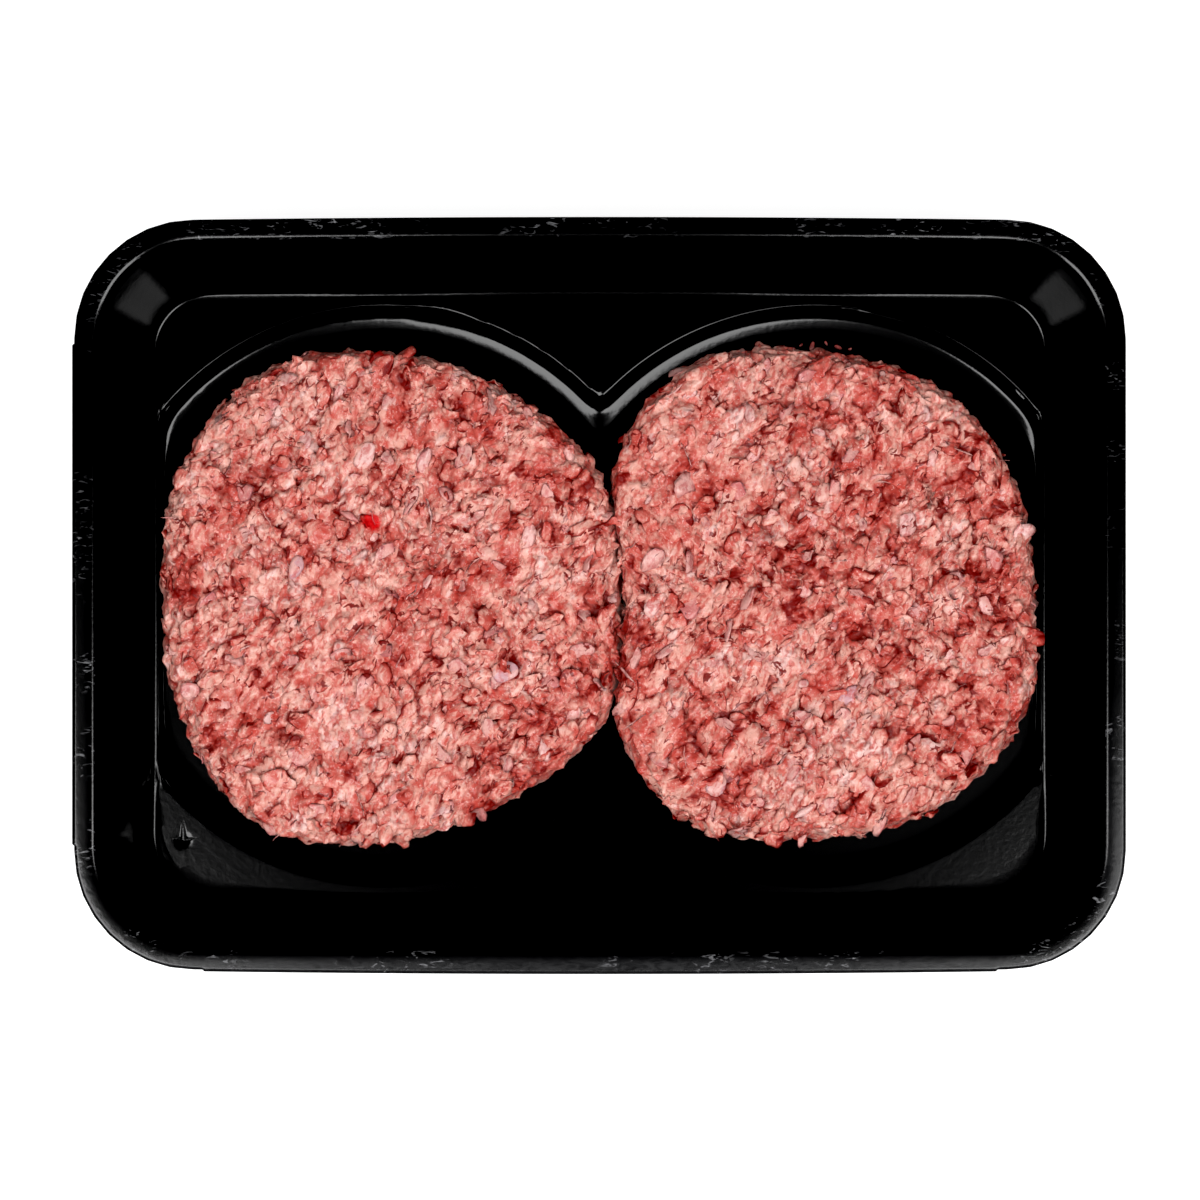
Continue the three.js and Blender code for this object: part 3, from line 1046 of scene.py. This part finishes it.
class MEATPACK_OT_tray(bpy.types.Operator):
    """Smooth the tray's sheet over the fixed solid and finish it in black plastic"""

    bl_idname = "meatpack.tray"
    bl_label = "Tray"

    def execute(self, context):
        tray = copy_of_node("tray", "tray_sheet")
        activate(tray)
        bpy.ops.object.mode_set(mode="EDIT")
        bpy.ops.mesh.select_all(action="SELECT")
        bpy.ops.mesh.tris_convert_to_quads(
            face_threshold=math.radians(50), shape_threshold=math.radians(60)
        )
        bpy.ops.mesh.select_all(action="DESELECT")
        bpy.ops.mesh.edges_select_sharp(sharpness=math.radians(60))
        bpy.ops.transform.edge_crease(value=0.9)
        self.inset_floor(tray)
        apply_modifier(tray, "SUBSURF", levels=2, render_levels=2)
        self.divide_round(tray, DENT_PLACE, DENT_REACH)
        points = points_of(tray.data)
        points[:, 2] = self.lip_level(points) - self.dent_depth(points)
        tray.data.vertices.foreach_set("co", points.ravel())
        tray.data.update()
        activate(tray)
        bpy.ops.object.shade_smooth_by_angle(angle=math.radians(50))
        declare(tray, black_plastic(context.scene.meatpack_tray), "tray_plastic", "tray")
        return {"FINISHED"}

    def inset_floor(self, tray):
        """Set a ring of faces round the wells' floor, which keeps its edge where it is."""
        bpy.ops.mesh.select_mode(type="FACE")
        bpy.ops.mesh.select_all(action="DESELECT")
        bpy.ops.object.mode_set(mode="OBJECT")
        for face in tray.data.polygons:
            level = abs(face.center.z - FLOOR_LEVEL) < 0.01 * MM
            face.select = level and face.normal.z > 0.99
        bpy.ops.object.mode_set(mode="EDIT")
        bpy.ops.mesh.inset(thickness=FLOOR_BEND)
        bpy.ops.object.mode_set(mode="OBJECT")

    def divide_round(self, tray, place, reach):
        """Divide the ledge's faces around a place."""
        faces = tray.data.polygons
        middles = np.empty(len(faces) * 3)
        faces.foreach_get("center", middles)
        middles = middles.reshape(-1, 3)
        near = np.linalg.norm(middles[:, :2] - place, axis=1) < reach
        near &= middles[:, 2] < DENT_HIGHEST
        activate(tray)
        bpy.ops.object.mode_set(mode="EDIT")
        bpy.ops.mesh.select_mode(type="FACE")
        bpy.ops.mesh.select_all(action="DESELECT")
        bpy.ops.object.mode_set(mode="OBJECT")
        faces.foreach_set("select", near)
        bpy.ops.object.mode_set(mode="EDIT")
        bpy.ops.mesh.subdivide(number_cuts=DENT_CUTS)
        bpy.ops.object.mode_set(mode="OBJECT")

    def lip_level(self, points):
        """The points' levels, with the upper face close to a crisp corner at the wells' lip."""
        level = points[:, 2]
        radius = np.hypot(np.abs(points[:, 0]) - WELL_CENTRE, points[:, 1])
        wall = (radius - WELL_LIP) * WELL_SLOPE
        soft = LEDGE_LEVEL - LIP_SOFTNESS * np.logaddexp(0, -wall / LIP_SOFTNESS)
        upper = (np.abs(level - soft) < UPPER_FACE_GAP) & (level > LOWEST_UPPER_FACE)
        return np.where(upper & (level < LEDGE_LEVEL + LEDGE_GAP), soft, level)

    def dent_depth(self, points):
        """A dent of three short spikes that meet."""
        offset = points[:, :2] - DENT_PLACE
        depth = HOLLOW_DEPTH * np.exp(-((offset / HOLLOW_WIDTH) ** 2).sum(1))
        for angle, length in DENT_SPIKES:
            along = offset @ (math.cos(math.radians(angle)), math.sin(math.radians(angle)))
            across = offset @ (-math.sin(math.radians(angle)), math.cos(math.radians(angle)))
            width = SPIKE_WIDTH * np.clip(1 - along / length, 0.05, 1)
            spike = np.exp(-((across / width) ** 2)) * (along > 0) * (along < length)
            depth = np.maximum(depth, SPIKE_DEPTH * spike)
        return np.where(points[:, 2] < DENT_HIGHEST, depth, 0)


class MEATPACK_OT_patty_cores(bpy.types.Operator):
    """Make the wet red body of each patty, which shows between the grains"""

    bl_idname = "meatpack.patty_cores"
    bl_label = "Patty cores"

    def execute(self, context):
        look = context.scene.meatpack_mince
        material = mince(look, "mince_core", 0.25)
        for node in PATTIES:
            core = copy_of_node(node, node + "_core")
            self.divide(core)
            points = points_of(core.data)
            normals = np.empty(points.size)
            core.data.vertices.foreach_get("normal", normals)
            normals = normals.reshape(-1, 3)
            rise, share, gap = ground(points)
            above = (points[:, 2] - RELIEF_START) / (RELIEF_FULL - RELIEF_START)
            rise = rise * np.clip(above, 0, 1)
            rise = rise * side_share(np.clip(normals[:, 2] / 0.6, 0, 1))
            # Painted shadow: the right patty sinks and turns to the crevices' colour where the
            # left patty lies over it
            if node == PATTIES[1]:
                close = beside_neighbour(points)
                rise = rise - SHADE_SINK * close
                gap = np.maximum(gap, close)
            core.data.vertices.foreach_set("co", (points + normals * rise[:, None]).ravel())
            # Painted shade: the gaps between the grains turn to the crevices' colour
            paint_points(core.data, mince_colour(look, share + mottle(points), 0.9 * gap))
            activate(core)
            bpy.ops.object.shade_smooth()
            declare(core, material, "raw_mince", node)
        return {"FINISHED"}

    def divide(self, core):
        """Divide the faces of the top and the sides finely, and leave the underside."""
        faces = core.data.polygons
        heights = np.array([face.center.z for face in faces])
        slopes = np.array([face.normal.z for face in faces])
        shown = (heights > CORE_LOWEST) & (slopes > CORE_STEEPEST)
        activate(core)
        bpy.ops.object.mode_set(mode="EDIT")
        bpy.ops.mesh.select_mode(type="FACE")
        bpy.ops.mesh.select_all(action="DESELECT")
        bpy.ops.object.mode_set(mode="OBJECT")
        faces.foreach_set("select", shown)
        bpy.ops.object.mode_set(mode="EDIT")
        bpy.ops.mesh.subdivide(number_cuts=CORE_CUTS)
        bpy.ops.mesh.select_all(action="SELECT")
        bpy.ops.mesh.quads_convert_to_tris()
        bpy.ops.object.mode_set(mode="OBJECT")


def scatter(context, kind, material, seed):
    look = context.scene.meatpack_mince
    forms = kind.forms(look.seed + seed)
    for number, node in enumerate(PATTIES):
        piece = kind.piece(node, look, look.seed + seed + 10 * number, forms)
        declare(piece, material, "raw_mince")


class MEATPACK_OT_lean_shreds(bpy.types.Operator):
    """Lay the large red and pink shreds over the patties"""

    bl_idname = "meatpack.lean_shreds"
    bl_label = "Lean shreds"

    def execute(self, context):
        material = mince(context.scene.meatpack_mince, "lean_meat", 0.3)
        scatter(context, LEAN_SHREDS, material, 0)
        return {"FINISHED"}


class MEATPACK_OT_fat_grains(bpy.types.Operator):
    """Scatter the small pale grains of fat and pink morsels"""

    bl_idname = "meatpack.fat_grains"
    bl_label = "Fat grains"

    def execute(self, context):
        material = mince(context.scene.meatpack_mince, "fat", 0.3)
        scatter(context, FAT_GRAINS, material, 100)
        return {"FINISHED"}


class MEATPACK_OT_membranes(bpy.types.Operator):
    """Lay thin whitish skins and fibres on the meat"""

    bl_idname = "meatpack.membranes"
    bl_label = "Membranes and fibres"

    def execute(self, context):
        material = mince(context.scene.meatpack_mince, "membrane", 0.2, 0.3)
        scatter(context, MEMBRANES, material, 200)
        scatter(context, FIBRES, material, 300)
        return {"FINISHED"}


class MEATPACK_OT_morsels(bpy.types.Operator):
    """Set the single bits that stand out in the patties, and the crumbs beside them"""

    bl_idname = "meatpack.morsels"
    bl_label = "Morsels and crumbs"

    def execute(self, context):
        look = context.scene.meatpack_mince
        material = mince(look, "morsel", 0.2, 0.15, 0)
        forms = [lump_form(look.seed + 400 + k, 0.2, 2, 1.2) for k in range(6)]
        for node in PATTIES:
            core = points_of(bpy.data.objects[node + "_core"].data)
            parts = []
            for owner, pixel, size, height, turn, tone in MORSELS:
                if owner != node:
                    continue
                place = photo_place(pixel, MORSEL_PIXEL)
                near = np.linalg.norm(core[:, :2] - place, axis=1) < MORSEL_REACH
                level = core[near & (core[:, 2] > MORSEL_LOWEST), 2].mean()
                centre = np.array([*place, level + MORSEL_LIFT - 0.3 * height])
                form = forms[len(parts) % len(forms)]
                parts.append(self.lump(form, centre, (*size, height), turn, getattr(look, tone)))
            self.join(node + "_morsels", parts, material)
        self.join("crumbs", self.crumbs(look, forms), material)
        return {"FINISHED"}

    def lump(self, form, centre, size, turn, colour):
        points, triangles = form
        angle = math.radians(turn)
        local = points * size
        placed = np.stack([
            local[:, 0] * math.cos(angle) - local[:, 1] * math.sin(angle),
            local[:, 0] * math.sin(angle) + local[:, 1] * math.cos(angle),
            local[:, 2],
        ], axis=1)
        return placed + centre, triangles, np.tile(colour, (len(points), 1))

    def crumbs(self, look, forms):
        """Dark red crumbs that lie on the floor of the well."""
        made = []
        for pixel, reach in CRUMBS:
            form = forms[len(made) % len(forms)]
            place = photo_place(pixel, CRUMB_PIXEL)
            centre = np.array([*place, CRUMB_LEVEL + 0.35 * reach])
            size = (reach, 0.5 * reach, 0.4 * reach)
            made.append(self.lump(form, centre, size, 40 * len(made), look.lean))
        return made

    def join(self, name, parts, material):
        starts = np.cumsum([0] + [len(points) for points, triangles, colours in parts])
        points = np.concatenate([part[0] for part in parts])
        triangles = np.concatenate([part[1] + start for part, start in zip(parts, starts)])
        colours = np.concatenate([part[2] for part in parts])
        declare(mesh_object(name, points, triangles, colours), material, "raw_mince")


class MEATPACK_OT_crevices(bpy.types.Operator):
    """Darken and redden the meat where it lies deep between its neighbours, as painted shade"""

    bl_idname = "meatpack.crevices"
    bl_label = "Crevices"

    def execute(self, context):
        look = context.scene.meatpack_mince
        for node in PATTIES:
            pieces = [obj for obj in context.scene.objects if obj.name.startswith(node + "_")]
            heights = HeightMap(np.concatenate([points_of(obj.data) for obj in pieces]))
            for obj in pieces:
                points = points_of(obj.data)
                sunk = heights.sunk(points)
                layer = obj.data.color_attributes["meat"].data
                colours = np.empty(len(points) * 4)
                layer.foreach_get("color", colours)
                colours = colours.reshape(-1, 4)
                # Painted shade: points deep between their neighbours turn to lean red, and the
                # deepest to the crevices' colour
                red = look.crevice * np.clip(2 * sunk, 0, 1)[:, None]
                deep = np.clip(2 * sunk - 1, 0, 1)[:, None]
                colours[:, :3] += (np.array(look.lean) - colours[:, :3]) * red
                colours[:, :3] += (np.array(look.deep) - colours[:, :3]) * deep
                bloody = self.bloody(points)[:, None]
                colours[:, :3] += (np.array(look.blood) - colours[:, :3]) * bloody
                layer.foreach_set("color", colours.ravel())
        return {"FINISHED"}

    def bloody(self, points):
        """How much of the spot of blood each point has."""
        away = np.linalg.norm(points[:, :2] - photo_place(BLOOD_PIXEL, MORSEL_PIXEL), axis=1)
        away = away + BLOOD_STRAY * (field(points, *BLOOD_RAGS) - 0.5)
        return np.clip((BLOOD_RADIUS - away) / BLOOD_EDGE, 0, 1)


class MEATPACK_OT_studio(bpy.types.Operator):
    """Set up the pale floor, the soft lamps and the camera"""

    bl_idname = "meatpack.studio"
    bl_label = "Studio"

    def execute(self, context):
        look = context.scene.meatpack_studio
        self.add_camera(context, look)
        self.add_floor(look)
        self.add_lamps(look)
        self.add_world(context)
        self.set_grading(context.scene.view_settings)
        return {"FINISHED"}

    def set_grading(self, view):
        """Plain colours, with the faintest gleams on the black sheet let go to black."""
        view.view_transform = "Standard"
        view.use_curve_mapping = True
        view.curve_mapping.black_level = (BLACK_LEVEL, BLACK_LEVEL, BLACK_LEVEL)
        view.curve_mapping.update()

    def add_camera(self, context, look):
        data = bpy.data.cameras.new("camera")
        camera = bpy.data.objects.new("camera", data)
        context.scene.collection.objects.link(camera)
        width = PHOTO_PIXELS * RIM_PIXEL
        data.sensor_width = 36
        data.lens = data.sensor_width * look.camera_height / width
        middle = PHOTO_PIXELS / 2
        camera.location = (
            (middle - TRAY_MIDDLE_PIXEL[0]) * RIM_PIXEL,
            (TRAY_MIDDLE_PIXEL[1] - middle) * RIM_PIXEL,
            RIM_LEVEL + look.camera_height,
        )
        context.scene.camera = camera

    def add_floor(self, look):
        deselect_all()
        bpy.ops.mesh.primitive_plane_add(size=6, location=(0, 0, 0))
        floor = bpy.context.object
        floor.name = "floor"
        shader = Shader("floor_pale")
        tone = shader.noise(0.4, 2)
        shader.set(
            Base_Color=shader.mix(tone, rgba(look.floor), (0.88, 0.88, 0.88, 1)),
            Roughness=0.9,
            Specular_IOR_Level=0.1,
            Emission_Color=rgba(look.floor),
            Emission_Strength=0.8,
        )
        floor.data.materials.append(shader.material)

    def add_lamp(self, name, place, width, power, shape):
        data = bpy.data.lights.new(name, "AREA")
        data.shape = shape
        data.size = width
        data.energy = power
        lamp = bpy.data.objects.new(name, data)
        lamp.location = place
        lamp.rotation_euler = (-Vector(place)).to_track_quat("-Z", "Y").to_euler()
        bpy.context.scene.collection.objects.link(lamp)
        return lamp

    def add_lamps(self, look):
        level = RIM_LEVEL + look.camera_height
        for side, sign in (("left", -1), ("right", 1)):
            place = (sign * KEY_PLACE[0], KEY_PLACE[1], level)
            self.add_lamp("key_" + side, place, look.key_width, look.key_power, "SQUARE")
        for side, sign in (("left", -1), ("right", 1)):
            place = (sign * SOFTBOX_PLACE[0], *SOFTBOX_PLACE[1:])
            softbox = self.add_lamp(
                "softbox_" + side, place, SOFTBOX_WIDTH, look.softbox_power, "DISK"
            )
            softbox.visible_glossy = False

    def add_world(self, context):
        world = bpy.data.worlds.new("studio")
        world.use_nodes = True
        context.scene.world = world
        background = world.node_tree.nodes["Background"]
        background.inputs["Color"].default_value = (1, 1, 1, 1)
        background.inputs["Strength"].default_value = 0.24
        world.cycles_visibility.glossy = False


class MEATPACK_PT_panel(bpy.types.Panel):
    """Lists the pack's pieces and their settings"""

    bl_idname = "MEATPACK_PT_panel"
    bl_label = "Meat Tray Pack"
    bl_space_type = "VIEW_3D"
    bl_region_type = "UI"
    bl_category = "Meat Pack"

    def draw(self, context):
        layout = self.layout
        for step in STEPS:
            layout.operator(step.bl_idname)
        for group, owner in SETTINGS.items():
            box = layout.box()
            for name in owner.__annotations__:
                box.prop(getattr(context.scene, group), name)


SETTINGS = {
    "meatpack_tray": TrayLook,
    "meatpack_mince": MinceLook,
    "meatpack_studio": StudioLook,
}
STEPS = (
    MEATPACK_OT_studio,
    MEATPACK_OT_tray,
    MEATPACK_OT_patty_cores,
    MEATPACK_OT_lean_shreds,
    MEATPACK_OT_fat_grains,
    MEATPACK_OT_membranes,
    MEATPACK_OT_morsels,
    MEATPACK_OT_crevices,
)
CLASSES = (*SETTINGS.values(), *STEPS, MEATPACK_PT_panel)


def register():
    for made in CLASSES:
        bpy.utils.register_class(made)
    for name, owner in SETTINGS.items():
        setattr(bpy.types.Scene, name, PointerProperty(type=owner))


def unregister():
    for name in SETTINGS:
        delattr(bpy.types.Scene, name)
    for made in reversed(CLASSES):
        bpy.utils.unregister_class(made)


def main():
    register()
    bpy.ops.meatpack.studio()
    bpy.ops.meatpack.tray()
    bpy.ops.meatpack.patty_cores()
    bpy.ops.meatpack.lean_shreds()
    bpy.ops.meatpack.fat_grains()
    bpy.ops.meatpack.membranes()
    bpy.ops.meatpack.morsels()
    bpy.ops.meatpack.crevices()


if __name__ == "__main__":
    main()
